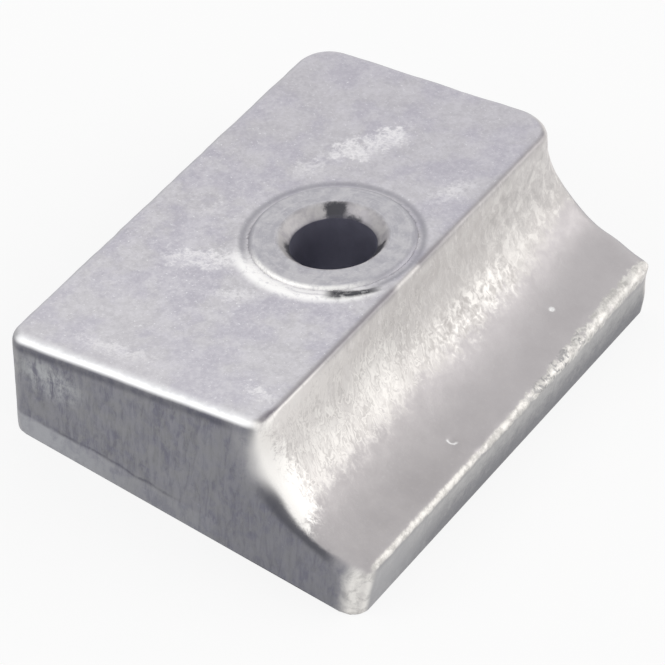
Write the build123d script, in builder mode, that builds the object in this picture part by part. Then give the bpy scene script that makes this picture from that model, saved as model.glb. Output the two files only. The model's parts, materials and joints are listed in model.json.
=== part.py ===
"""Wedge-shaped sacrificial anode with a cast-in steel bush for one mounting bolt.

Frame: millimetres, +Z up. The mounting face lies in the XY plane, and the bolt axis crosses it at the
origin. +X runs from the square heel to the thin lip and Y along the cove. The plateau on top is tilted
about Y by the wedge angle; the bolt axis, the heel, the shoulder wall and the bush are square to it.
"""

import os
from math import cos, radians, sin

from build123d import *

# Block
block_length = 58.0  # along the cove, end to end
wedge_angle = 12.0  # between the plateau and the mounting face, degrees
axis_height = 16.5  # mounting face to plateau, along the bolt axis
heel_reach = 20.6  # bolt axis to heel, along the plateau
shoulder_reach = 10.0  # bolt axis to the wall under the shoulder, along the plateau
lip_reach = 20.5  # bolt axis to the lip's outer face, along the mounting face
lip_height = 6.3  # thickness of the lip
cove_radius = 11.4  # hollow between the shoulder wall and the lip

# Rounded edges of the casting
heel_foot_radius = 1.8  # upright heel corners where the bolt axis meets the mounting face
heel_top_radius = 3.0  # the same corners at the plateau
lip_corner_radius = 2.0  # upright corners of the lip
shoulder_corner_radius = 4.2  # corners of the plateau over the cove
plateau_edge_radius = 1.2  # all round the plateau
cove_edge_radius = 1.2  # ends of the cove and round the lip

# Bush and bore
bore_diameter = 9.0  # clearance for an M8 bolt
bush_diameter = 17.4
bush_stand = 0.35  # bush face above the plateau
bush_rim_radius = 0.7
bore_chamfer = 1.15

# Planes and axis of the tilted features
wedge = radians(wedge_angle)
foot_plane = Plane.XY.rotated((0, -wedge_angle, 0))
plateau_plane = foot_plane.offset(axis_height)
bush_plane = plateau_plane.offset(bush_stand)
bolt_axis = Axis(foot_plane.origin, foot_plane.z_dir)


def in_profile(along, up):
    """XZ place of a point given along the plateau and up the bolt axis, from the origin."""
    return (along * cos(wedge) - up * sin(wedge), along * sin(wedge) + up * cos(wedge))


# Driven places of the profile
cove_start_up = (lip_height + cove_radius - (shoulder_reach + cove_radius) * sin(wedge)) / cos(wedge)
cove_start = in_profile(shoulder_reach, cove_start_up)
cove_end = (in_profile(shoulder_reach + cove_radius, cove_start_up)[0], lip_height)
heel_foot = (-heel_reach / cos(wedge), 0)
shoulder_wall = axis_height - cove_start_up  # straight wall over the cove
plateau_rounding = min(plateau_edge_radius, 0.6 * shoulder_wall)
shoulder_rounding = min(shoulder_corner_radius, cove_edge_radius + 1.1 * shoulder_wall)

# What the rounded corners leave out. Each is lofted to widen towards the plateau, and both of its
# ends are tangent to the two faces that meet at the corner.
with BuildPart() as shoulder_reliefs:
    for plane, radius in (
        (foot_plane.offset(cove_start_up), cove_edge_radius),
        (plateau_plane, shoulder_rounding),
    ):
        with BuildSketch(plane):
            with Locations((shoulder_reach - radius, block_length / 2 - radius)):
                Rectangle(2 * radius, 2 * radius, align=(Align.MIN, Align.MIN))
                Circle(radius, mode=Mode.SUBTRACT)
    loft()
    mirror(about=Plane.XZ)

with BuildPart() as heel_reliefs:
    for plane, radius in ((foot_plane, heel_foot_radius), (plateau_plane, heel_top_radius)):
        with BuildSketch(plane):
            with Locations((radius - heel_reach, block_length / 2 - radius)):
                Rectangle(2 * radius, 2 * radius, align=(Align.MAX, Align.MIN))
                Circle(radius, mode=Mode.SUBTRACT)
    loft()
    mirror(about=Plane.XZ)

with BuildPart() as anode_block:
    with BuildSketch(Plane.XZ):
        with BuildLine():
            Polyline(
                cove_end,
                (lip_reach, lip_height),
                (lip_reach, 0),
                heel_foot,
                in_profile(-heel_reach, axis_height),
                in_profile(shoulder_reach, axis_height),
                cove_start,
            )
            RadiusArc(cove_start, cove_end, -cove_radius)
        make_face()
    extrude(amount=block_length / 2, both=True)

    # The cove's ends, the lip's ends and its outer edge are one tangent run once the lip's
    # corners are round, so one fillet takes them all.
    fillet(anode_block.edges().filter_by(Axis.Z), radius=lip_corner_radius)
    cove_ends = anode_block.edges().filter_by(GeomType.CIRCLE).sort_by(SortBy.RADIUS)[-2:]
    fillet(cove_ends, radius=cove_edge_radius)

    add(shoulder_reliefs.part, mode=Mode.SUBTRACT)
    add(heel_reliefs.part, mode=Mode.SUBTRACT)
    fillet(anode_block.faces().sort_by(bolt_axis)[-1].edges(), radius=plateau_rounding)

    # Seat that the zinc leaves round the bush
    with BuildSketch(foot_plane):
        Circle(bush_diameter / 2)
    extrude(amount=axis_height + bush_stand, both=True, mode=Mode.SUBTRACT)
anode_block.part.label = "anode_block"

with BuildPart() as insert_bush:
    with BuildSketch(bush_plane):
        Circle(bush_diameter / 2)
    extrude(amount=-2 * axis_height)
    fillet(insert_bush.faces().sort_by(bolt_axis)[-1].edges(), radius=bush_rim_radius)
    with BuildSketch(bush_plane):
        Circle(bore_diameter / 2)
    extrude(amount=-2 * axis_height, mode=Mode.SUBTRACT)
    mouth = insert_bush.faces().sort_by(bolt_axis)[-1].edges().sort_by(SortBy.RADIUS)[0]
    chamfer(mouth, length=bore_chamfer)
    split(bisect_by=Plane.XY, keep=Keep.TOP)
insert_bush.part.label = "insert_bush"

os.makedirs("parts", exist_ok=True)
for node in (anode_block, insert_bush):
    export_step(node.part, f"parts/{node.part.label}.step")
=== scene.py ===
"""Looks of the sacrificial anode: a cast zinc block on a pale studio floor.

Both pieces are modelled from their sizes. The block is the zero level of a distance function, with the
uneven edges, the swell of zinc round the bush and the nicks of the real casting, and the bush is turned.
Lengths of the shape are in millimetres in the part's own frame and become metres when a mesh is made.
"""

import json
import math

import bpy
import numpy as np
from mathutils import Matrix, Vector


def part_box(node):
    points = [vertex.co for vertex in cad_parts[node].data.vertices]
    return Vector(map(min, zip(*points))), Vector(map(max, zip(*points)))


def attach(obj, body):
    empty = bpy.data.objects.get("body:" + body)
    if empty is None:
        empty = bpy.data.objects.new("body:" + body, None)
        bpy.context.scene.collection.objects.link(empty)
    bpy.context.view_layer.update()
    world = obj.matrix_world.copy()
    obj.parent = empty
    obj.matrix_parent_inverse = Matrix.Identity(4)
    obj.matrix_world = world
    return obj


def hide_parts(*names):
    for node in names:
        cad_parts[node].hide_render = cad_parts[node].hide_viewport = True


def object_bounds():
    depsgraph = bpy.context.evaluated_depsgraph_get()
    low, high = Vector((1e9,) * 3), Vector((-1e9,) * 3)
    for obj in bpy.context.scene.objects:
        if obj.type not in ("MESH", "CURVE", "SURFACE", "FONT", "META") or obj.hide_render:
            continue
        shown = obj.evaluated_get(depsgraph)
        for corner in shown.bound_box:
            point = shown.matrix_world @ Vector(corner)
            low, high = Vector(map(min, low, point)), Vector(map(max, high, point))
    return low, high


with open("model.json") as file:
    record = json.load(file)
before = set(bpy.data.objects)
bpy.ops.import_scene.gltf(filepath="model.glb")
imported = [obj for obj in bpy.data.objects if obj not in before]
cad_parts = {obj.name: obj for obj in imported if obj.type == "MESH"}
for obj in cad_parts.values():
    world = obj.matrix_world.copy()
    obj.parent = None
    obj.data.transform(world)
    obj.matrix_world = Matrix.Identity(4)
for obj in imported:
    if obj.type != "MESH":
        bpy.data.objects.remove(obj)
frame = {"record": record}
cad_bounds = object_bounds()

MM = 0.001

# ---------------------------------------------------------------- sizes of the part, in millimetres
mounts = {mount["name"]: mount for mount in frame["record"]["mounts"]}
cad_low, cad_high = (np.array(corner) / MM for corner in cad_bounds)
block_low, block_high = (np.array(corner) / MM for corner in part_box("anode_block"))
bolt = np.array(mounts["bolt_bore"]["axis"])
WEDGE = math.atan2(-bolt[0], bolt[2])
BORE_R = mounts["bolt_bore"]["dims"]["r_mm"]
BUSH_TOP = float(np.dot(bolt, np.array(mounts["bush_face"]["pos_m"]) / MM))
LENGTH = block_high[1] - block_low[1]
LIP_REACH = block_high[0]
LIP_HEIGHT = 6.3
BUSH_STAND = 0.35
PLATEAU = BUSH_TOP - BUSH_STAND
HEEL_REACH = 20.6
SHOULDER_REACH = 10.0
COVE_R = 11.4
BUSH_R = 8.7
BUSH_RIM_R = 0.7
BORE_CHAMFER = 1.15

# Centre of the cove's round part: along the plateau and up the bolt's axis, and in X and Z
COS, SIN = math.cos(WEDGE), math.sin(WEDGE)
COVE_ALONG = SHOULDER_REACH + COVE_R
COVE_UP = (LIP_HEIGHT + COVE_R - COVE_ALONG * SIN) / COS
COVE_X = COVE_ALONG * COS - COVE_UP * SIN
COVE_Z = COVE_ALONG * SIN + COVE_UP * COS

# Rounded edges. The upright corners differ from one end of the casting to the other.
HEEL_FOOT_R = 1.8
HEEL_TOP_R = 4.0
NEAR_HEEL_FOOT_R = 1.1
NEAR_HEEL_TOP_R = 2.3
LIP_FOOT_R = 2.2
LIP_CORNER_R = 2.8
FAR_LIP_CORNER_R = 3.6
COVE_EDGE_R = 1.6
SHOULDER_CORNER_R = 4.5
NEAR_CORNER_R = 1.9
PLATEAU_EDGE_R = 1.4
SHOULDER_EDGE_R = 0.5
LIP_EDGE_R = 0.9
FOOT_EDGE_R = 0.15
SEAT_EDGE_R = 0.12

# How much higher the lip stands at its far end than at its middle, and where it starts to rise
FAR_RISE = 1.15
RISE_START = 4.0

# Zinc that closed over the bush's rim: its lap, the groove beside the rim and the swell outside that
SEAT_LAP = 0.26
GROOVE_RHO, GROOVE_WIDTH, GROOVE_DEPTH = 9.1, 0.34, 0.13
SWELL_RHO, SWELL_WIDTH, SWELL_HEIGHT = 9.95, 0.62, 0.24
NEAR_TURN = math.radians(-100.0)

# Nicks in the smooth part of the cove: place along X and Y, radius, and where the side that is lit begins
NICKS = ((17.2, -7.5, 0.45, -0.15), (15.6, 14.8, 0.16, -1.0))
NICK_DEPTH = 0.16

# Grid of the casting's mesh. The shift keeps its planes off the flat faces.
GRID_STEP = 0.31
GRID_SHIFT = 0.013
NEWTON_STEPS = 4

# Mesh of the bush: points round it, heights of its wall's rings up the bolt's axis, where None is the
# underside, and steps across the chamfer, the face and the rim. Rings stand the margin away from the
# chamfer's two edges, and the chamfer starts the shift outside the bore's wall.
BUSH_SEGMENTS = 288
BUSH_LEVELS = (None, 6.0, 12.0)
CHAMFER_STEPS, FACE_STEPS, RIM_STEPS = 4, 8, 8
CHAMFER_MARGIN = 0.12
CHAMFER_SHIFT = 0.02


def ease(value, start, end):
    """0 up to start, 1 from end on and smooth between, also where the end is the lower one."""
    t = np.clip((value - start) / (end - start), 0.0, 1.0)
    return t * t * (3.0 - 2.0 * t)


def tilted(points):
    """Places along the plateau and up the bolt axis."""
    x, _, z = np.moveaxis(points, -1, 0)
    return x * COS + z * SIN, z * COS - x * SIN


def round_meet(a, b, radius):
    """Distance to what two faces enclose, with their edge rounded."""
    corner = np.hypot(np.maximum(a + radius, 0.0), np.maximum(b + radius, 0.0))
    return np.minimum(np.maximum(a, b), -radius) + corner


def cove_distance(points):
    """Distance to the shoulder wall, the hollow and the lip's top as one run."""
    along, _ = tilted(points)
    x, _, z = np.moveaxis(points, -1, 0)
    towards_wall = (COVE_X - x) / COS
    towards_lip = COVE_Z - z - towards_wall * SIN
    hollow = COVE_R - np.hypot(x - COVE_X, z - COVE_Z)
    flats = np.minimum(along - SHOULDER_REACH, z - LIP_HEIGHT)
    return np.where((towards_wall > 0) & (towards_lip > 0), hollow, flats)


def far_rise(y):
    """Height of the lip's top above the height that it has from the near end to the middle."""
    return FAR_RISE * ease(y, RISE_START, LENGTH / 2)


def collar_height(along, y, up):
    """Swell of zinc round the bush on the near side, and the groove between it and the bush's rim."""
    out = np.hypot(along, y)
    near = ease(np.cos(np.arctan2(y, along) - NEAR_TURN), 0.0, 0.8)
    swell = SWELL_HEIGHT * (0.15 + 0.85 * near) * np.exp(-(((out - SWELL_RHO) / SWELL_WIDTH) ** 2))
    groove = GROOVE_DEPTH * (1.0 - 0.4 * near) * np.exp(-(((out - GROOVE_RHO) / GROOVE_WIDTH) ** 2))
    falls = 1.0 - 0.85 * ease(along, 7.0, 9.6)
    return (swell * falls - groove * falls) * ease(up, PLATEAU - 2.2, PLATEAU - 0.6)


def outline_distance(points):
    """Signed distance to the casting's upright faces and the cove, without its plateau and foot."""
    along, up = tilted(points)
    x, y, z = np.moveaxis(points, -1, 0)
    lowered = np.stack([x, y, z - far_rise(y) * ease(x, 11.0, 19.0)], -1)
    ends = np.abs(y) - LENGTH / 2

    # Radius of the heel's corners, of the lip's corners, and of the cove's ends from the lip to the shoulder
    near_heel = ease(y, -6.0, -20.0)
    foot_r = HEEL_FOOT_R + (NEAR_HEEL_FOOT_R - HEEL_FOOT_R) * near_heel
    top_r = HEEL_TOP_R + (NEAR_HEEL_TOP_R - HEEL_TOP_R) * near_heel
    heel_r = foot_r + (top_r - foot_r) * np.clip(up / PLATEAU, 0.0, 1.0)
    lip_top_r = LIP_CORNER_R + (FAR_LIP_CORNER_R - LIP_CORNER_R) * ease(y, 8.0, 18.0)
    corner_r = LIP_FOOT_R + (lip_top_r - LIP_FOOT_R) * ease(z, 1.5, LIP_HEIGHT)
    far = ease(y, -5.0, 10.0)
    near = ease(y, 5.0, -15.0) * ease(up, 10.5, PLATEAU)
    cove_r = COVE_EDGE_R + (SHOULDER_CORNER_R - COVE_EDGE_R) * ease(up, 3.0 + 1.5 * far, 10.0 + 4.0 * far)
    cove_r = cove_r + (NEAR_CORNER_R - SHOULDER_CORNER_R) * near
    end_r = cove_r + (corner_r - cove_r) * ease(x, 14.5, 19.5)

    front = round_meet(round_meet(x - LIP_REACH, cove_distance(lowered), LIP_EDGE_R), ends, end_r)
    return np.maximum(front, round_meet(-along - HEEL_REACH, ends, heel_r))


def block_distance(points):
    """Signed distance to the casting, negative inside."""
    along, up = tilted(points)
    y, z = points[..., 1], points[..., 2]
    at_shoulder = ease(along, 7.0, 9.2) * (1.0 - ease(np.abs(y), 25.0, 28.0))
    plateau_r = PLATEAU_EDGE_R + (SHOULDER_EDGE_R - PLATEAU_EDGE_R) * at_shoulder
    body = round_meet(outline_distance(points), up - PLATEAU, plateau_r)
    body = body - collar_height(along, y, up)
    body = round_meet(body, -z, FOOT_EDGE_R)
    lap = SEAT_LAP * ease(up, PLATEAU - 0.75, PLATEAU - 0.35)
    return round_meet(body, BUSH_R - lap - np.hypot(along, y), SEAT_EDGE_R)


def gradient(function, points, step=0.01):
    """Unit gradient of a distance function."""
    slope = np.empty_like(points)
    for axis in range(3):
        move = np.zeros(3)
        move[axis] = step
        slope[:, axis] = function(points + move) - function(points - move)
    return slope / np.maximum(np.linalg.norm(slope, axis=1, keepdims=True), 1e-9)


def surface_net(function, low, high, step):
    """Quads along the zero level of a function, with one vertex in each grid cell that it crosses."""
    axes = [np.arange(a, b + step, step) for a, b in zip(low, high)]
    sheets = []
    for x in axes[0]:
        sheet = np.meshgrid([x], axes[1], axes[2], indexing="ij")
        sheets.append(function(np.stack(sheet, -1))[0])
    value = np.stack(sheets)
    inside = value < 0

    # Each cell's vertex is the mean of the places where its edges cross the level
    cells = tuple(n - 1 for n in value.shape)
    total = np.zeros(cells + (3,), np.float32)
    count = np.zeros(cells, np.float32)
    for axis in range(3):
        one, two = (axis + 1) % 3, (axis + 2) % 3
        first = [slice(None)] * 3
        second = [slice(None)] * 3
        first[axis], second[axis] = slice(None, -1), slice(1, None)
        lo, hi = value[tuple(first)], value[tuple(second)]
        cut = (lo < 0) != (hi < 0)
        share = np.where(cut, lo / np.where(cut, lo - hi, 1.0), 0.0)
        for a in (0, 1):
            for b in (0, 1):
                pick = [slice(None)] * 3
                pick[one] = slice(a, cells[one] + a)
                pick[two] = slice(b, cells[two] + b)
                hit = cut[tuple(pick)]
                total[..., axis] += share[tuple(pick)]
                total[..., one] += hit * a
                total[..., two] += hit * b
                count += hit
    live = np.argwhere(count > 0)
    number = np.full(cells, -1)
    number[tuple(live.T)] = np.arange(len(live))
    vertices = np.array(low) + step * (live + total[tuple(live.T)] / count[tuple(live.T)][:, None])

    # Each grid edge that crosses the level gets a quad between the four cells round it
    quads = []
    for axis in range(3):
        one, two = (axis + 1) % 3, (axis + 2) % 3
        first = [slice(1, -1)] * 3
        second = [slice(1, -1)] * 3
        first[axis], second[axis] = slice(None, -1), slice(1, None)
        lo, hi = inside[tuple(first)], inside[tuple(second)]
        start = np.array([0 if k == axis else 1 for k in range(3)])
        for out in (True, False):
            edge = np.argwhere((lo != hi) & (lo == out)) + start
            ring = []
            for a, b in ((1, 1), (0, 1), (0, 0), (1, 0)):
                cell = edge.copy()
                cell[:, one] -= a
                cell[:, two] -= b
                ring.append(number[tuple(cell.T)])
            ring = np.stack(ring, -1)
            quads.append(ring if out else ring[:, ::-1])
    return vertices, np.concatenate(quads)


def ripple(points, wavelength, seed, waves=40):
    """Smooth random unevenness of about unit height."""
    chance = np.random.default_rng(seed)
    way = chance.normal(size=(waves, 3))
    way /= np.linalg.norm(way, axis=1, keepdims=True)
    pace = 2.0 * math.pi / (wavelength * chance.uniform(0.7, 1.5, waves))
    phase = chance.uniform(0.0, 2.0 * math.pi, waves)
    total = np.zeros(len(points))
    for k in range(waves):
        total += np.cos(points @ (way[k] * pace[k]) + phase[k])
    return total * math.sqrt(2.0 / waves)


def new_mesh(name, vertices, faces, fields=None):
    """Mesh object from points in millimetres, shaded smooth, with named values at its points."""
    mesh = bpy.data.meshes.new(name)
    mesh.from_pydata((np.asarray(vertices) * MM).tolist(), [], np.asarray(faces).tolist())
    mesh.shade_smooth()
    for field, values in (fields or {}).items():
        mesh.attributes.new(field, "FLOAT", "POINT").data.foreach_set("value", np.asarray(values, np.float32))
    piece = bpy.data.objects.new(name, mesh)
    bpy.context.collection.objects.link(piece)
    return piece


# ---------------------------------------------------------------- the casting
def cast_block():
    """The zinc casting, with fields that tell its materials which part of the surface they are on."""
    margin = 3.0 * GRID_STEP
    low, high = block_low - margin, block_high + margin
    high[2] += BUSH_STAND
    even, faces = surface_net(block_distance, low + GRID_SHIFT, high, GRID_STEP)
    for _ in range(NEWTON_STEPS):
        slope = gradient(block_distance, even)
        even -= slope * block_distance(even)[:, None]
    slope = gradient(block_distance, even)

    along, up = tilted(even)
    x, y, z = even.T
    out = np.hypot(along, y)
    end_gap = LENGTH / 2 - np.abs(y)
    facing = np.abs(slope[:, 1])
    forward = slope[:, 0] * COS + slope[:, 2] * SIN
    near_end = ease(y, 0.0, -10.0)
    top = ease(slope @ bolt, 0.70, 0.97) * ease(up, PLATEAU - 1.5, PLATEAU - 0.7)
    foot = 1.0 - ease(z, 0.15, 0.9)
    seat = 1.0 - ease(out, BUSH_R + 0.02, BUSH_R + 0.5)
    lip_edge_width = 0.50 + 0.55 * ease(y, -8.0, 20.0)
    lip_edge = np.hypot(x - LIP_REACH, z - LIP_HEIGHT - far_rise(y)) / lip_edge_width
    lip_edge = ease(lip_edge, 1.9, 0.5)

    # Uneven skin of the casting: broad waves everywhere, lumps along the lip and two nicks in the cove
    wave = 0.020 * ripple(even, 7.0, 3) + 0.010 * ripple(even, 2.2, 4)
    lump = 0.07 * ripple(even, 1.6, 5) - 0.05 + 0.05 * ripple(even, 4.5, 6)
    move = wave * (1.0 - 0.5 * top) + lump * lip_edge * (0.7 + 0.8 * y / LENGTH)
    move = move * (1.0 - foot) * (1.0 - seat)
    for nick_x, nick_y, nick_r, _ in NICKS:
        move -= NICK_DEPTH * np.exp(-(((x - nick_x) ** 2 + (y - nick_y) ** 2) / nick_r**2)) * (z > 3.0)
    points = np.clip(even + slope * move[:, None], cad_low, cad_high)

    # Place down the cove's section, from the shoulder's wall at 0 to the lip at 1
    turn = np.arctan2(COVE_Z - z, COVE_X - x)
    down = np.clip((turn + WEDGE) / (math.radians(90.0) + WEDGE), -0.5, 1.5)
    in_cove = ease(along, SHOULDER_REACH - 0.55, SHOULDER_REACH - 0.1) * ease(z, 3.5, 5.0)
    in_cove = np.maximum(in_cove, ease(along, SHOULDER_REACH - 4.5, SHOULDER_REACH - 2.5) * (1.0 - top))

    # The cove's ends turn outwards in a wide rounding: a painted highlight inside this limit, and painted
    # shade outside it
    limit = 0.76 - 0.20 * ease(down, 0.36, 0.58)
    ends = ease(facing, limit - 0.12, np.minimum(limit + 0.20, 1.0))
    reach = 3.8 - 15.0 * (down - 0.50) ** 2
    flare = np.clip((reach + 2.0 - end_gap) / 4.0, 0.0, 1.0)
    flare = flare * ease(down, -0.10, 0.30) * ease(down, 0.84, 0.64)
    brow = ease(facing, limit - 0.06, limit + 0.08) * ease(facing, 0.98, 0.80) * ease(down, 0.40, 0.56)
    # Painted light on the near end beside the cove
    haze = ease(cove_distance(points), -4.4, -1.8) * ease(facing, 0.5, 0.9)
    haze = haze * ease(up, 7.0, 10.0) * ease(up, 16.2, 14.0)

    # Outer face of the lip, and the upright corners, which carry a painted highlight
    lip_face = ease(slope[:, 0], 0.70, 0.95) * (1.0 - ease(z, 5.2, 6.2)) * ease(x, 18.0, 19.0)
    upright = 1.0 - ease(np.abs(slope[:, 2]), 0.6, 0.9)
    at_corner = np.maximum(ease(x, 15.5, 17.5), 0.12 * ease(along, -16.0, -19.0))
    corner = ease(np.minimum(np.abs(slope[:, 0]), facing), 0.05, 0.42) * upright * at_corner
    cone = ease(x + 0.10 * (z - LIP_HEIGHT), 16.9, 19.1) * ease(facing, 0.04, 0.45) * ease(z, 6.5, 5.6)

    # Edge of the plateau: a painted highlight on its rim, painted shade in the fold under the shoulder and
    # painted shade under the edge
    outward = gradient(outline_distance, even)
    rim = 0.22 * ease(along, 9.0, 7.0) + 0.78 * ease(outward[:, 1], -0.70, -0.98)
    fold = np.exp(-(((PLATEAU - up - 0.25) / 0.42) ** 2)) * ease(along, 8.7, 9.5) * ease(forward, -0.1, 0.15)
    fold = fold * (0.45 + 0.55 * np.exp(-(((forward - 0.5) / 0.35) ** 2)))
    fold = fold * (1.0 - ease(forward, 0.6, 0.9) * ease(y, -14.0, -22.0))
    under = ease(facing, 0.6, 0.9) * (1.0 - in_cove)

    fields = {
        "top": top,
        "cove": in_cove * (1.0 - lip_face) * (1.0 - ends) * (1.0 - foot),
        "down": down,
        "lip_face": lip_face,
        "lip_edge": lip_edge,
        "rim": rim * ease(up, PLATEAU - 2.2, PLATEAU - 1.6),
        "inward": np.clip(-outline_distance(even), 0.0, 4.0),
        "fold": fold * ease(facing, 0.6, 0.3),
        "corner": np.maximum(corner, cone * near_end),
        "brow": brow * ease(x, 17.6, 15.0) * near_end * in_cove,
        "flare": flare * in_cove * near_end,
        "haze": haze * near_end * (1.0 - top),
        "under": under * near_end,
    }
    return new_mesh("cast_block", points, faces, fields)


def bush_profile():
    """Section of the bush, closed, as distances from the bolt's axis and heights along it."""
    profile = [(BORE_R, level) for level in BUSH_LEVELS]
    profile.append((BORE_R, BUSH_TOP - BORE_CHAMFER - CHAMFER_MARGIN))
    for k in range(CHAMFER_STEPS + 1):
        t = k / CHAMFER_STEPS
        profile.append((BORE_R + CHAMFER_SHIFT + BORE_CHAMFER * t, BUSH_TOP - BORE_CHAMFER * (1.0 - t)))
    face_in = BORE_R + BORE_CHAMFER + CHAMFER_MARGIN
    face_out = BUSH_R - BUSH_RIM_R
    for k in range(FACE_STEPS + 1):
        profile.append((face_in + (face_out - face_in) * k / FACE_STEPS, BUSH_TOP))
    for k in range(1, RIM_STEPS + 1):
        bend = math.radians(90.0 * k / RIM_STEPS)
        rho = face_out + BUSH_RIM_R * math.sin(bend)
        profile.append((rho, BUSH_TOP - BUSH_RIM_R * (1.0 - math.cos(bend))))
    return profile + [(BUSH_R, level) for level in reversed(BUSH_LEVELS)]


def turned_bush():
    """The steel bush on the bolt's axis: bore, chamfered mouth, flat face and rounded rim."""
    turn = np.linspace(0.0, 2.0 * math.pi, BUSH_SEGMENTS, endpoint=False)
    profile = bush_profile()
    rings = []
    for rho, up in profile:
        along, y = rho * np.cos(turn), rho * np.sin(turn)
        rise = -along * SIN / COS if up is None else np.full(BUSH_SEGMENTS, up)
        rings.append(np.stack([along * COS - rise * SIN, y, along * SIN + rise * COS], -1))
    points = np.concatenate(rings)
    faces = []
    for i in range(len(profile)):
        ring, next_ring = i * BUSH_SEGMENTS, (i + 1) % len(profile) * BUSH_SEGMENTS
        for k in range(BUSH_SEGMENTS):
            n = (k + 1) % BUSH_SEGMENTS
            faces.append((ring + k, ring + n, next_ring + n, next_ring + k))
    _, up = tilted(points)
    bore = 1.0 - ease(up, BUSH_TOP - BORE_CHAMFER - 0.13, BUSH_TOP - BORE_CHAMFER + 0.05)
    return new_mesh("turned_bush", np.clip(points, cad_low, cad_high), faces, {"bore": bore})


# ---------------------------------------------------------------- materials
TO_MM = (1 / MM, 1 / MM, 1 / MM)
METALLIC = 0.6
BUMP_STRENGTH = 0.5
BUMP_DISTANCE = 0.1 * MM

# Directions round the bolt's axis: the near side, where highlights are painted and opposite which shade is
# painted, and the thickest place of the swell's painted highlight
NEAR_SHADE_TURN = math.radians(-84.0)
BLOB_TURN = math.radians(-106.0)

# Bright smears on the plateau: centre along it and along Y, direction in degrees, half the length and
# half the width, strength
SMEARS = (
    (-9.4, -9.2, 19.0, 7.0, 2.2, 0.85),
    (-4.2, 17.0, 62.0, 4.0, 2.6, 0.95),
    (-6.2, 13.6, 50.0, 4.2, 2.6, 0.9),
    (-8.6, 9.2, 55.0, 3.8, 2.4, 0.40),
    (6.7, 11.9, 60.0, 4.6, 2.6, 0.40),
    (-3.9, -12.9, 20.0, 4.4, 1.5, 0.45),
    (-13.3, -1.5, 60.0, 4.4, 1.7, 0.28),
    (7.0, -24.7, 0.0, 3.4, 1.3, 0.6),
    (-9.0, -25.6, 6.0, 9.0, 1.5, 0.45),
)

# Faint scratches on the plateau: direction in radians, and shift of the noise that draws them
SCRATCHES = ((0.5, 3.0), (-0.9, 11.0))

# Worn patch on the near end: centre along X and Z, and half the size each way
WORN_X, WORN_Z, WORN_HALF_X, WORN_HALF_Z = -17.5, 9.0, 5.5, 3.2

# Mould seam on the ends: height, and half its width
SEAM_Z, SEAM_HALF = 2.85, 0.28

# Two layers of brushed strokes in the cove: lean, strokes along Y, and changes down a stroke
STROKES = ((5.0, 2.3, 9.0), (-4.0, 1.7, 7.0))

# Painted highlights in the cove: centre along Y and down its section, half the size each way, strength
GLARES = (
    (-9.6, 0.45, 6.5, 0.26, 1.0),
    (-19.5, 0.45, 4.5, 0.20, 0.7),
    (-2.5, 0.55, 5.0, 0.16, 0.3),
    (10.8, 0.57, 3.8, 0.13, 1.0),
    (17.5, 0.50, 3.0, 0.12, 0.6),
)

# Open gap beside the bush: where it is widest, in degrees round the axis, how far from the axis it is
# there, and how much further with each degree
GAP_TURN, GAP_RHO, GAP_DRIFT = -60.0, 9.32, 0.57 / 34.0

# Dark patches in the mouth of the bore: first and last degree round the axis, and reach from the bore's wall
DARK_PATCHES = ((107.0, 132.0, 1.2), (-4.0, 24.0, 0.95), (-150.0, -108.0, 0.45), (84.0, 106.0, 0.30))
DARK_PATCH_SOFT_TURN, DARK_PATCH_SOFT_REACH = 4.0, 0.25

# Colours that are used in more than one place
SCRAPED = (0.86, 0.84, 0.81)
# Polished zinc in the cove's blotches, also the colour of its painted highlights
POLISH_AND_GLARE = (0.80, 0.78, 0.755)
WHITE = (1.0, 1.0, 1.0, 1.0)


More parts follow.
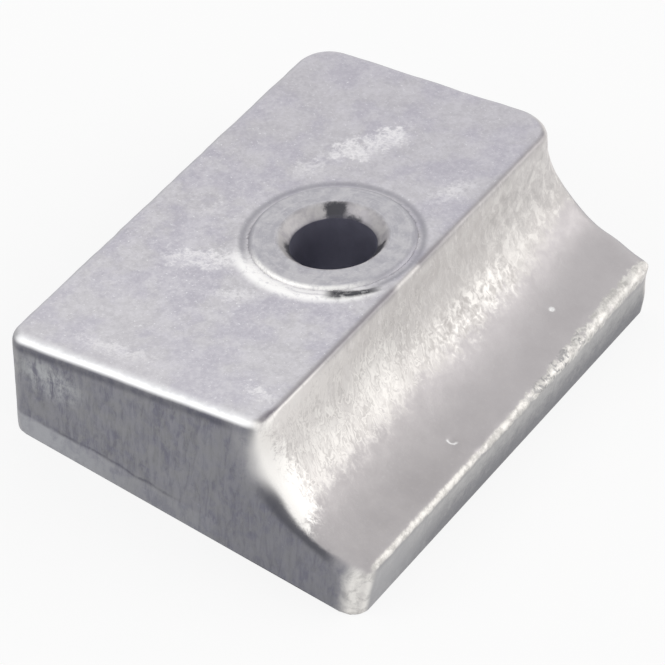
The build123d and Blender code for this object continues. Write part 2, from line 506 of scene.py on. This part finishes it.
class Nodes:
    """The node tree of a material or a world, built by short calls that return sockets."""

    def __init__(self, owner):
        owner.use_nodes = True
        self.owner = owner
        self.tree = owner.node_tree
        self.tree.nodes.clear()

    def node(self, kind, inputs=None, **settings):
        made = self.tree.nodes.new(kind)
        for key, value in settings.items():
            setattr(made, key, value)
        for key, value in (inputs or {}).items():
            if isinstance(value, bpy.types.NodeSocket):
                self.tree.links.new(value, made.inputs[key])
            else:
                made.inputs[key].default_value = value
        return made

    def field(self, name):
        """A value that the mesh has at its points."""
        return self.node("ShaderNodeAttribute", attribute_name=name).outputs["Fac"]

    def math(self, operation, a, b=0.0, clamp=False):
        return self.node("ShaderNodeMath", {0: a, 1: b}, operation=operation, use_clamp=clamp).outputs[0]

    def chain(self, operation, values):
        total = values[0]
        for value in values[1:]:
            total = self.math(operation, total, value)
        return total

    def plus(self, *values):
        return self.chain("ADD", values)

    def times(self, *values):
        return self.chain("MULTIPLY", values)

    def most(self, *values):
        return self.chain("MAXIMUM", values)

    def minus(self, a, b):
        return self.math("SUBTRACT", a, b)

    def rest(self, share):
        """What a share leaves of 1."""
        return self.minus(1.0, share)

    def swing(self, noise, width):
        """Noise moved from around 0.5 to around 0, and widened."""
        return self.times(self.minus(noise, 0.5), width)

    def length(self, a, b):
        return self.math("SQRT", self.plus(self.times(a, a), self.times(b, b)))

    def ramp(self, value, low, high, to_low=0.0, to_high=1.0):
        """Smooth change from one level to another while a value goes from low to high."""
        inputs = {"Value": value, "From Min": low, "From Max": high, "To Min": to_low, "To Max": to_high}
        return self.node("ShaderNodeMapRange", inputs, interpolation_type="SMOOTHSTEP").outputs[0]

    def fall(self, value, low, high):
        """1 below low, 0 above high and smooth between."""
        return self.ramp(value, low, high, 1.0, 0.0)

    def band(self, value, centre, half):
        """1 at the centre, falling smoothly to 0 this far away on either side."""
        return self.fall(self.math("ABSOLUTE", self.minus(value, centre)), 0.0, half)

    def oval(self, a, b, half_a, half_b, core=0.1):
        """1 in the core of an oval patch, falling smoothly to 0 at its border."""
        a, b = self.math("DIVIDE", a, half_a), self.math("DIVIDE", b, half_b)
        return self.fall(self.length(a, b), core, 1.0)

    def noise(self, place, scale, detail=4.0, rough=0.6, distortion=0.0):
        look = {"Scale": scale, "Detail": detail, "Roughness": rough, "Distortion": distortion}
        return self.node("ShaderNodeTexNoise", {"Vector": place, **look}).outputs["Fac"]

    def mix(self, share, a, b):
        """Colour a, with a share of colour b in it."""
        made = self.node("ShaderNodeMix", data_type="RGBA")
        for index, value in ((0, share), (6, a), (7, b)):
            if isinstance(value, bpy.types.NodeSocket):
                self.tree.links.new(value, made.inputs[index])
            elif index:
                made.inputs[index].default_value = (*value, 1.0)
            else:
                made.inputs[index].default_value = value
        return made.outputs[2]

    def coats(self, colour, *coats):
        """A colour with coats over it, one after another, each a share and the coat's own colour."""
        for share, coat in coats:
            colour = self.mix(share, colour, coat)
        return colour

    def place(self, scale, turn=None, stretch=None, shift=0.0):
        """Object coordinates, scaled, and where wanted turned, stretched and shifted."""
        coordinates = self.node("ShaderNodeTexCoord").outputs["Object"]
        spot = self.node("ShaderNodeMapping", {"Vector": coordinates, "Scale": scale}).outputs["Vector"]
        if turn is not None:
            spot = self.node("ShaderNodeMapping", {"Vector": spot, "Rotation": turn}).outputs["Vector"]
            inputs = {"Vector": spot, "Scale": stretch, "Location": (shift, shift, shift)}
            spot = self.node("ShaderNodeMapping", inputs).outputs["Vector"]
        return spot

    def split(self, vector):
        made = self.node("ShaderNodeSeparateXYZ", {0: vector})
        return made.outputs[0], made.outputs[1], made.outputs[2]

    def join(self, x, y, z):
        return self.node("ShaderNodeCombineXYZ", {0: x, 1: y, 2: z}).outputs[0]


class MetalNodes(Nodes):
    """Nodes of one of the part's metals, with the place on the part in millimetres and round the bolt."""

    def __init__(self, name):
        super().__init__(bpy.data.materials.new(name))
        self.mm = self.place(TO_MM)
        self.x, self.y, self.z = self.split(self.mm)
        self.along = self.plus(self.times(self.x, COS), self.times(self.z, SIN))
        self.rho = self.length(self.along, self.y)
        self.turn = self.math("ARCTAN2", self.y, self.along)
        self.degrees = self.times(self.turn, 180.0 / math.pi)
        # near is 1 on the near side round the bolt, where highlights are painted, and 0 on the far side,
        # where shade is painted
        self.near = self.towards(NEAR_SHADE_TURN, 0.45, 0.85)

    def towards(self, angle, low, high):
        """1 near one direction round the bolt's axis and 0 away from it; low and high are cosines."""
        return self.ramp(self.math("COSINE", self.minus(self.turn, angle)), low, high)

    def metal(self, colour, height, roughness):
        """Ends the tree in a satin metal, and gives its material."""
        bumps = {"Height": height, "Strength": BUMP_STRENGTH, "Distance": BUMP_DISTANCE}
        normal = self.node("ShaderNodeBump", bumps).outputs["Normal"]
        inputs = {"Base Color": colour, "Metallic": METALLIC, "Roughness": roughness, "Normal": normal}
        shader = self.node("ShaderNodeBsdfPrincipled", inputs)
        self.node("ShaderNodeOutputMaterial", {"Surface": shader.outputs[0]})
        return self.owner


class ZincNodes(MetalNodes):
    """Nodes of the casting's zinc, with the noises and the depth that its skins share."""

    def __init__(self, name):
        super().__init__(name)
        self.fine = self.noise(self.mm, 2.4, 5.0, 0.72)
        self.grain = self.noise(self.mm, 1.05, 6.0, 0.74)
        self.blotch = self.noise(self.mm, 0.55, 7.0, 0.68, 0.4)
        self.cloud = self.noise(self.mm, 0.17, 4.0, 0.6)
        self.depth = self.minus(PLATEAU, self.minus(self.times(self.z, COS), self.times(self.x, SIN)))
        # Cream of the painted highlight on the upright corners
        self.cream = self.mix(self.ramp(self.blotch, 0.36, 0.60), (0.52, 0.505, 0.49), (0.84, 0.82, 0.79))


def smears(s, frost):
    """Torn bright smears on the plateau, dragged into wisps."""
    ragged = s.swing(s.grain, 5.0)
    ragged_along = s.plus(s.along, ragged)
    ragged_y = s.plus(s.minus(s.y, ragged), s.swing(s.blotch, 5.0))
    spots = []
    for centre_along, centre_y, degrees, half_long, half_wide, strength in SMEARS:
        way = math.radians(degrees)
        a, b = s.minus(ragged_along, centre_along), s.minus(ragged_y, centre_y)
        lengthwise = s.plus(s.times(a, math.cos(way)), s.times(b, math.sin(way)))
        crosswise = s.minus(s.times(b, math.cos(way)), s.times(a, math.sin(way)))
        spots.append(s.times(s.oval(lengthwise, crosswise, half_long, half_wide), strength))
    dragged = s.noise(s.mm, 0.42, 3.0, 0.55, 0.9)
    wisp = s.most(s.band(dragged, 0.50, 0.090), s.times(s.band(dragged, 0.62, 0.060), 0.8))
    torn = s.times(s.ramp(frost, 0.36, 0.58, 0.30, 0.85), s.ramp(s.fine, 0.36, 0.58, 0.45, 1.0))
    torn = s.most(torn, s.times(wisp, 0.85, s.ramp(s.fine, 0.34, 0.52, 0.5, 1.0)))
    return s.times(s.ramp(s.most(*spots), 0.0, 0.7), torn)


def plateau_skin(s):
    """Satin cast skin, lavender and neutral by turns, with smears, specks and faint scratches, and painted
    light that is brighter at the near end and darker at the far end.
    """
    speck = s.noise(s.mm, 3.4, 2.0, 0.6)
    frost = s.plus(s.times(s.noise(s.mm, 0.33, 4.0, 0.62, 0.3), 0.45), s.times(s.grain, 0.55))
    skin = s.coats(
        s.mix(s.ramp(s.cloud, 0.42, 0.58), (0.512, 0.495, 0.555), (0.560, 0.546, 0.568)),
        (s.ramp(frost, 0.42, 0.64, 0.0, 0.75), (0.69, 0.675, 0.71)),
        (s.ramp(frost, 0.36, 0.50, 0.35, 0.0), (0.455, 0.438, 0.500)),
        (s.ramp(s.fine, 0.48, 0.70, 0.0, 0.46), (0.76, 0.745, 0.78)),
        (s.ramp(s.fine, 0.31, 0.47, 0.42, 0.0), (0.43, 0.415, 0.47)),
        (s.ramp(speck, 0.64, 0.74, 0.0, 0.75), (0.93, 0.93, 0.95)),
        # Painted light: darker towards the far end and lighter towards the near end
        (s.ramp(s.y, -25.0, 29.0, 0.0, 0.32), (0.44, 0.422, 0.475)),
        (s.ramp(s.y, -29.0, -6.0, 0.25, 0.0), (0.70, 0.685, 0.72)),
        (s.times(smears(s, frost), 0.92), (0.90, 0.885, 0.90)),
    )
    for angle, shift in SCRATCHES:
        line = s.noise(s.place(TO_MM, (0.0, 0.0, angle), (0.22, 4.0, 4.0), shift), 1.0, 3.0, 0.55)
        skin = s.mix(s.ramp(line, 0.60, 0.72, 0.0, 0.16), skin, (0.78, 0.775, 0.80))
    return skin


def side_skin(s):
    """Dull skin of the ends and the heel, painted dark as shade, with streaks from drawing the mould and a
    seam low down.
    """
    streak = s.noise(s.place(TO_MM, (0.0, 0.10, 0.0), (1.7, 1.7, 0.42)), 1.0, 6.0, 0.68, 0.6)
    lighter = s.oval(s.plus(s.x, -WORN_X), s.minus(s.z, WORN_Z), WORN_HALF_X, WORN_HALF_Z, core=0.2)
    lighter = s.times(lighter, s.ramp(s.plus(s.times(s.blotch, 1.2), s.times(streak, 0.8)), 0.80, 1.20))
    wander = s.plus(s.z, s.swing(s.cloud, 1.6), s.swing(s.blotch, 0.5))
    low_strip = s.times(
        s.fall(wander, 2.3, 2.8),
        s.fall(s.x, 1.0, 5.0),
        s.ramp(s.blotch, 0.35, 0.6, 0.45, 0.85),
        s.ramp(s.x, -17.0, -3.0, 1.0, 0.25),
    )
    seam_span = s.times(
        s.ramp(s.x, -18.0, -14.0),
        s.fall(s.x, -4.0, 0.0),
        s.ramp(s.grain, 0.40, 0.55, 0.35, 1.0),
    )
    seam = s.times(s.band(wander, SEAM_Z, SEAM_HALF), seam_span, 0.7)
    # Painted shade under the plateau's edge
    under = s.times(s.field("under"), s.band(s.depth, 1.25, 0.80), s.ramp(s.blotch, 0.34, 0.60, 0.85, 0.50))
    return s.coats(
        s.mix(s.ramp(s.blotch, 0.38, 0.62), (0.170, 0.170, 0.212), (0.225, 0.225, 0.238)),
        (s.ramp(streak, 0.40, 0.62, 0.0, 0.65), (0.275, 0.275, 0.297)),
        (s.ramp(streak, 0.34, 0.46, 0.45, 0.0), (0.13, 0.13, 0.165)),
        (s.ramp(s.cloud, 0.44, 0.60, 0.0, 0.30), (0.28, 0.28, 0.29)),
        (s.ramp(s.fine, 0.55, 0.8, 0.0, 0.3), (0.42, 0.42, 0.44)),
        (s.times(lighter, 0.85), (0.47, 0.48, 0.495)),
        (low_strip, (0.42, 0.425, 0.45)),
        (s.ramp(s.x, -3.0, 10.0, 0.0, 0.25), (0.125, 0.125, 0.155)),
        (seam, (0.10, 0.10, 0.13)),
        (under, (0.085, 0.085, 0.11)),
        # Painted light beside the cove on the near end
        (s.times(s.field("haze"), s.ramp(s.blotch, 0.35, 0.60, 0.30, 0.65)), (0.40, 0.395, 0.41)),
        # Painted highlight on the upright corners
        (s.field("corner"), s.cream),
    )


def brushing(s, down):
    """Noise of the strokes that run down the cove, and bright and dark wires among them."""
    drift = s.noise(s.mm, 0.45, 3.0, 0.6)
    curl = s.noise(s.mm, 1.3, 2.0, 0.5)
    bent = s.plus(s.times(drift, 3.4), s.times(curl, 0.9))
    layers = []
    for lean, across_scale, down_scale in STROKES:
        across = s.plus(s.y, s.times(down, lean), bent)
        spot = s.join(s.times(across, across_scale), s.times(down, down_scale), s.times(drift, 3.0))
        layers.append(s.noise(spot, 1.0, 4.0, 0.62, 0.5))
    strokes = s.times(s.plus(*layers), 0.5)
    across = s.plus(s.y, s.times(down, 3.0), s.times(bent, 0.7))
    spot = s.join(s.times(across, 0.85), s.times(down, 5.5), s.times(drift, 2.0))
    wires = s.noise(spot, 1.0, 2.0, 0.5, 0.9)
    bright_wire = s.most(s.band(wires, 0.545, 0.045), s.band(wires, 0.41, 0.040))
    dark_wire = s.most(s.band(wires, 0.475, 0.040), s.band(wires, 0.62, 0.040))
    return strokes, bright_wire, dark_wire


def brushed_skin(s, down, edge, upper, far_end, strokes, bright_wire, dark_wire):
    """Upper part of the cove: brushed, with painted highlights of glare and bright patches, a hammered middle
    and a blotched far end.
    """
    glare = s.times(s.ramp(edge, 0.58, 0.82), upper, s.rest(far_end), s.ramp(s.grain, 0.38, 0.55, 0.45, 1.0))
    spots = []
    for centre_y, centre_down, half_y, half_down, strength in GLARES:
        spot = s.oval(s.minus(s.y, centre_y), s.minus(down, centre_down), half_y, half_down)
        spots.append(s.times(spot, strength))
    patch = s.times(s.most(*spots), s.ramp(strokes, 0.40, 0.56, 0.35, 0.80))
    wired = s.times(
        s.ramp(down, 0.10, 0.34),
        s.ramp(s.y, -3.0, 4.0, 1.0, 0.35),
        s.ramp(s.blotch, 0.36, 0.56, 0.35, 1.0),
    )
    lumps = s.noise(s.mm, 1.25, 3.0, 0.55, 0.6)
    hammered = s.times(s.ramp(s.y, -3.0, 2.5), s.ramp(s.y, 17.5, 13.0), s.ramp(down, 0.40, 0.52))
    rough = s.noise(s.mm, 0.72, 4.0, 0.62, 0.5)
    blotched = s.times(s.ramp(s.y, 10.0, 16.0), s.times(s.ramp(down, 0.05, 0.22), s.fall(down, 0.50, 0.74)))
    return s.coats(
        s.mix(s.ramp(s.blotch, 0.38, 0.62), (0.580, 0.557, 0.545), (0.640, 0.620, 0.605)),
        (s.ramp(s.y, -26.0, -4.0, 0.85, 0.0), (0.83, 0.805, 0.785)),
        (s.ramp(strokes, 0.48, 0.64, 0.0, 0.60), (0.78, 0.76, 0.745)),
        (s.ramp(strokes, 0.34, 0.46, 0.40, 0.0), (0.47, 0.45, 0.44)),
        (s.times(glare, s.ramp(strokes, 0.46, 0.60, 0.0, 0.30)), (0.76, 0.74, 0.72)),
        (s.times(far_end, 0.7), (0.60, 0.575, 0.57)),
        (s.times(s.band(down, 0.52, 0.36), 0.50), (0.44, 0.42, 0.412)),
        (patch, POLISH_AND_GLARE),
        (s.times(dark_wire, wired, 0.36), (0.36, 0.34, 0.33)),
        (s.times(bright_wire, wired, 0.46), SCRAPED),
        (s.times(hammered, s.ramp(lumps, 0.49, 0.62, 0.0, 0.65)), SCRAPED),
        (s.times(hammered, s.ramp(lumps, 0.36, 0.48, 0.65, 0.0)), (0.38, 0.36, 0.35)),
        (s.times(blotched, s.ramp(rough, 0.50, 0.62, 0.0, 0.45)), POLISH_AND_GLARE),
        (s.times(blotched, s.ramp(rough, 0.38, 0.48, 0.45, 0.0)), (0.42, 0.405, 0.40)),
    )


def cove_skin(s):
    """Brushing from the shoulder to a ragged edge and smooth skin below it, and the brushing's height."""
    down = s.field("down")
    strokes, bright_wire, dark_wire = brushing(s, down)
    far_end = s.ramp(s.y, 15.0, 26.0)
    edge = s.plus(
        down,
        s.plus(s.times(strokes, 0.30), s.times(s.blotch, 0.30)),
        s.times(far_end, 0.10),
        s.plus(s.times(s.band(s.y, -5.0, 9.0), 0.025), 0.012),
    )
    upper = s.fall(edge, 0.90, 1.03)
    smooth = s.coats(
        s.mix(s.ramp(s.cloud, 0.35, 0.65), (0.425, 0.403, 0.410), (0.470, 0.447, 0.452)),
        (s.ramp(s.y, -16.0, 4.0, 0.0, 0.5), (0.525, 0.500, 0.512)),
        (s.ramp(s.fine, 0.5, 0.75, 0.0, 0.3), (0.56, 0.545, 0.545)),
    )
    brushed = brushed_skin(s, down, edge, upper, far_end, strokes, bright_wire, dark_wire)
    skin = s.mix(upper, smooth, brushed)

    # Painted highlight: the white flare of the cove's near end, with a torn border
    flare = s.field("flare")
    wires = s.times(s.minus(bright_wire, dark_wire), 0.10)
    torn = s.plus(s.swing(strokes, 2.2), s.swing(s.grain, 1.6), wires)
    torn = s.times(torn, s.fall(flare, 0.65, 1.0))
    torn_flare = s.times(s.ramp(s.plus(flare, torn), 0.12, 0.92), s.ramp(flare, 0.0, 0.35))
    skin = s.mix(s.times(torn_flare, 0.95), skin, (1.0, 0.98, 0.95))

    # Each nick gets a painted highlight on its lit side
    for nick_x, nick_y, nick_r, lit_from in NICKS:
        a, b = s.minus(s.x, nick_x), s.minus(s.y, nick_y)
        away = s.plus(s.length(a, b), s.swing(s.fine, 0.5))
        lit_side = s.ramp(s.minus(s.times(a, 0.43), b), lit_from, lit_from + 0.5)
        skin = s.mix(s.times(s.band(away, nick_r, 0.26), lit_side), skin, (0.90, 0.90, 0.90))
    height = s.times(strokes, upper, s.times(s.field("cove"), 0.5))
    return skin, height


def plateau_edge(s, colour):
    """Painted highlight on the plateau's rim, and painted shade in the fold under the shoulder and in the
    brow over the cove's near end.
    """
    inside = s.plus(s.field("inward"), s.swing(s.grain, 0.9))
    rim = s.times(s.fall(inside, 0.25, 1.35), s.fall(s.depth, 0.50, 0.95), s.field("rim"))
    spilled = s.times(s.ramp(s.y, -4.6, -3.2), s.fall(s.y, 0.0, 1.0))
    fold = s.times(s.field("fold"), s.rest(s.times(spilled, 0.85)), s.ramp(s.y, 2.0, 8.0, 1.0, 0.65))
    return s.coats(
        colour,
        (s.times(rim, 0.95), (0.95, 0.95, 0.96)),
        (fold, (0.17, 0.155, 0.18)),
        (s.times(s.field("brow"), 0.85), (0.075, 0.075, 0.09)),
    )


def lip(s, colour):
    """Mottled outer face of the lip, painted darker towards its foot as shade and with a painted highlight on
    its corners, and a painted highlight along the crumbled edge on top of it.
    """
    mottle = s.plus(s.swing(s.grain, 5.5), s.swing(s.fine, 2.5))
    face = s.coats(
        s.mix(s.ramp(s.plus(s.z, mottle), 0.6, 6.4), (0.195, 0.195, 0.212), (0.46, 0.453, 0.452)),
        (s.ramp(s.plus(s.y, s.times(mottle, 4.0)), -26.0, -12.0, 0.75, 0.0), (0.40, 0.398, 0.41)),
        (s.field("corner"), s.cream),
    )
    crumbs = s.swing(s.noise(s.mm, 0.95, 3.0, 0.6, 0.3), s.ramp(s.y, -22.0, 12.0, 1.0, 2.2))
    edge = s.field("lip_edge")
    edge_highlight = s.times(s.ramp(s.plus(edge, crumbs), 0.25, 0.80), s.ramp(edge, 0.0, 0.35))
    flecked = s.times(s.ramp(s.y, -1.0, 6.0), s.ramp(s.y, 10.0, 19.0, 1.0, 0.12))
    flecks = s.times(s.ramp(s.noise(s.mm, 1.5, 3.0, 0.6, 0.5), 0.50, 0.60), flecked)
    # Colour of the painted highlight along the lip's edge, with dark flecks
    lighter = s.mix(s.ramp(s.grain, 0.38, 0.60), (0.50, 0.486, 0.465), (0.76, 0.742, 0.71))
    lighter = s.mix(s.times(flecks, 0.8), lighter, (0.24, 0.24, 0.25))
    return s.coats(colour, (s.field("lip_face"), face), (s.times(edge_highlight, 0.9), lighter))


def round_bush(s, colour):
    """Painted highlight on the swell near the bush, painted shade in the groove on its far side, an open gap,
    and the gap's share.
    """
    on_top = s.ramp(s.field("top"), 0.1, 0.6)
    swell = s.most(
        s.band(s.rho, 10.05, 1.05),
        s.times(s.band(s.rho, 9.0, 0.9), 0.75),
        s.times(s.band(s.rho, 9.45, 1.5), s.towards(BLOB_TURN, 0.86, 0.97)),
    )
    swell = s.times(swell, s.near, s.ramp(s.grain, 0.34, 0.50, 0.5, 1.0), on_top)
    swell = s.math("MULTIPLY", swell, 1.08, clamp=True)
    groove = s.times(s.band(s.rho, 9.25, 0.62), s.rest(s.near), on_top, 0.62)
    gap_middle = s.plus(s.times(s.plus(s.degrees, -GAP_TURN), GAP_DRIFT), GAP_RHO)
    gap_half = s.ramp(s.degrees, GAP_TURN, -28.0, 1.15, 0.55)
    gap_span = s.times(s.ramp(s.degrees, -66.0, -56.0), s.fall(s.degrees, -38.0, -24.0))
    off_middle = s.math("DIVIDE", s.math("ABSOLUTE", s.minus(s.rho, gap_middle)), gap_half)
    gap = s.times(s.fall(off_middle, 0.4, 1.0), gap_span, s.ramp(s.grain, 0.50, 0.68, 1.0, 0.5), on_top)
    colour = s.coats(
        colour,
        (swell, (1.0, 0.99, 0.985)),
        (groove, (0.27, 0.265, 0.30)),
        (gap, (0.05, 0.05, 0.06)),
    )
    return colour, gap


def zinc_material():
    s = ZincNodes("cast_zinc")
    hollow, brushed_height = cove_skin(s)
    colour = s.mix(s.field("top"), side_skin(s), plateau_skin(s))
    colour = s.mix(s.field("cove"), colour, hollow)
    colour = lip(s, plateau_edge(s, colour))
    colour, gap = round_bush(s, colour)
    height = s.plus(s.times(s.fine, 0.25), s.times(s.blotch, 0.8), brushed_height)
    return s.metal(colour, s.minus(height, s.times(gap, 1.5)), s.ramp(s.blotch, 0.3, 0.7, 0.44, 0.56))


def steel_material():
    s = MetalNodes("turned_steel")
    fine = s.noise(s.mm, 2.6, 5.0, 0.7)
    blotch = s.noise(s.mm, 0.7, 6.0, 0.65, 0.3)
    rings = s.noise(s.join(s.times(s.rho, 6.0), s.times(s.turn, 0.8), 0.0), 1.0, 3.0, 0.6)

    # Turned face, with a painted highlight on the rim's near side, painted shade on its far side and a mouth
    # painted darker as shade
    bush_rim_highlight = s.times(s.band(s.rho, 8.5, 0.45), s.near, s.ramp(fine, 0.35, 0.55, 0.55, 0.95))
    bush_rim_shade = s.times(s.band(s.rho, 8.45, 0.42), s.rest(s.near), 0.65)
    mouth_r = BORE_R + BORE_CHAMFER
    mouth = s.fall(s.plus(s.rho, s.times(blotch, 0.8)), mouth_r + 0.2, mouth_r + 0.7)
    colour = s.coats(
        s.mix(s.ramp(blotch, 0.38, 0.62), (0.42, 0.412, 0.45), (0.54, 0.53, 0.555)),
        (s.ramp(rings, 0.45, 0.7, 0.0, 0.3), (0.64, 0.63, 0.65)),
        (s.ramp(fine, 0.5, 0.75, 0.0, 0.45), (0.72, 0.71, 0.73)),
        (bush_rim_highlight, (0.93, 0.92, 0.90)),
        (bush_rim_shade, (0.30, 0.295, 0.33)),
        (mouth, s.mix(s.ramp(blotch, 0.38, 0.62), (0.36, 0.345, 0.362), (0.46, 0.443, 0.447))),
    )

    # Dark patches on the chamfer, and the bore, painted dark partly as shade and partly for the oxide of its
    # wall
    ragged = s.plus(s.degrees, s.swing(fine, 14.0))
    reach = s.plus(s.rho, s.swing(fine, 0.7))
    for first, last, depth in DARK_PATCHES:
        starts = s.ramp(ragged, first - DARK_PATCH_SOFT_TURN, first + DARK_PATCH_SOFT_TURN)
        ends = s.fall(ragged, last - DARK_PATCH_SOFT_TURN, last + DARK_PATCH_SOFT_TURN)
        inner = s.fall(reach, BORE_R + depth - DARK_PATCH_SOFT_REACH, BORE_R + depth + DARK_PATCH_SOFT_REACH)
        colour = s.mix(s.times(starts, ends, inner, 0.95), colour, (0.045, 0.045, 0.055))
    colour = s.mix(s.field("bore"), colour, (0.215, 0.213, 0.275))
    height = s.plus(s.times(fine, 0.6), s.times(rings, 0.3))
    return s.metal(colour, height, s.ramp(blotch, 0.3, 0.7, 0.40, 0.54))


# ---------------------------------------------------------------- stage, light and camera
# Floor: half its size in millimetres, its grey, and the share of plain white that the camera sees in it
FLOOR_REACH = 4000.0
FLOOR_GREY = 0.86
FLOOR_WHITENESS = 0.85

# Strength of the world where it lights the part, and where the camera sees it
WORLD_LIGHT = 0.75
WORLD_SEEN = 1.0

# Soft lights: name, azimuth and elevation in degrees, distance and size in metres, power in watts, colour
LIGHTS = (
    ("cove_light", 132.0, 26.0, 0.6, (0.6, 0.4), 1.1, (1.0, 0.98, 0.95)),
    ("front_light", -42.0, 33.0, 0.6, (0.3, 0.2), 0.5, (1.0, 1.0, 1.0)),
)

# Camera, solved from the block's proportions in the photograph
CAMERA_TARGET = Vector((0.26, -3.94, 8.0)) * MM
CAMERA_AZIMUTH = 25.59
CAMERA_ELEVATION = 44.29
CAMERA_ROLL = 10.13
CAMERA_DISTANCE = 491.3 * MM
CAMERA_LENS = 261.4
CAMERA_SENSOR = 36.0
CAMERA_CLIP = (0.01, 50.0)


def direction(azimuth, elevation):
    """Unit vector from the object towards a place round it; azimuth 0 is -Y and turns towards +X."""
    a, e = math.radians(azimuth), math.radians(elevation)
    return Vector((math.sin(a) * math.cos(e), -math.cos(a) * math.cos(e), math.sin(e)))


def soft_light(name, azimuth, elevation, distance, size, power, colour):
    lamp = bpy.data.lights.new(name, "AREA")
    lamp.shape = "RECTANGLE"
    lamp.size, lamp.size_y = size
    lamp.energy = power
    lamp.color = colour
    holder = bpy.data.objects.new(name, lamp)
    way = direction(azimuth, elevation)
    holder.location = way * distance
    holder.rotation_euler = way.to_track_quat("Z", "Y").to_euler()
    bpy.context.collection.objects.link(holder)


def seen(s):
    """1 for rays from the camera, also by way of metal or glass, and 0 for those that light the part."""
    path = s.node("ShaderNodeLightPath")
    return s.most(*(path.outputs[ray] for ray in ("Is Camera Ray", "Is Glossy Ray", "Is Transmission Ray")))


def floor_material():
    s = Nodes(bpy.data.materials.new("pale_floor"))
    matt = s.node("ShaderNodeBsdfDiffuse", {"Color": (FLOOR_GREY, FLOOR_GREY, FLOOR_GREY, 1.0)})
    white = s.node("ShaderNodeEmission", {"Color": WHITE, "Strength": 1.0})
    share = s.times(seen(s), FLOOR_WHITENESS)
    both = s.node("ShaderNodeMixShader", {0: share, 1: matt.outputs[0], 2: white.outputs[0]})
    s.node("ShaderNodeOutputMaterial", {"Surface": both.outputs[0]})
    return s.owner


def white_world():
    s = Nodes(bpy.data.worlds.new("studio"))
    inputs = {"Value": seen(s), "To Min": WORLD_LIGHT, "To Max": WORLD_SEEN}
    level = s.node("ShaderNodeMapRange", inputs).outputs[0]
    background = s.node("ShaderNodeBackground", {"Color": WHITE, "Strength": level})
    s.node("ShaderNodeOutputWorld", {"Surface": background.outputs[0]})
    return s.owner


def studio():
    corners = [(x * FLOOR_REACH, y * FLOOR_REACH, 0.0) for x, y in ((-1, -1), (1, -1), (1, 1), (-1, 1))]
    floor = new_mesh("floor", corners, [(0, 1, 2, 3)])
    floor.data.materials.append(floor_material())
    bpy.context.scene.world = white_world()
    for light in LIGHTS:
        soft_light(*light)


def camera():
    lens = bpy.data.cameras.new("camera")
    lens.lens = CAMERA_LENS
    lens.sensor_width = CAMERA_SENSOR
    lens.clip_start, lens.clip_end = CAMERA_CLIP
    holder = bpy.data.objects.new("camera", lens)
    way = direction(CAMERA_AZIMUTH, CAMERA_ELEVATION)
    aim = way.to_track_quat("Z", "Y").to_matrix().to_4x4()
    roll = Matrix.Rotation(math.radians(CAMERA_ROLL), 4, "Z")
    holder.matrix_world = Matrix.Translation(CAMERA_TARGET + way * CAMERA_DISTANCE) @ aim @ roll
    bpy.context.collection.objects.link(holder)
    bpy.context.scene.camera = holder


block = cast_block()
bush = turned_bush()
block.data.materials.append(zinc_material())
bush.data.materials.append(steel_material())
for piece, node, slot in ((block, "anode_block", "zinc"), (bush, "insert_bush", "bush_steel")):
    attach(piece, "root")
    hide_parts(node)
studio()
camera()
bpy.context.scene.view_settings.view_transform = "Standard"
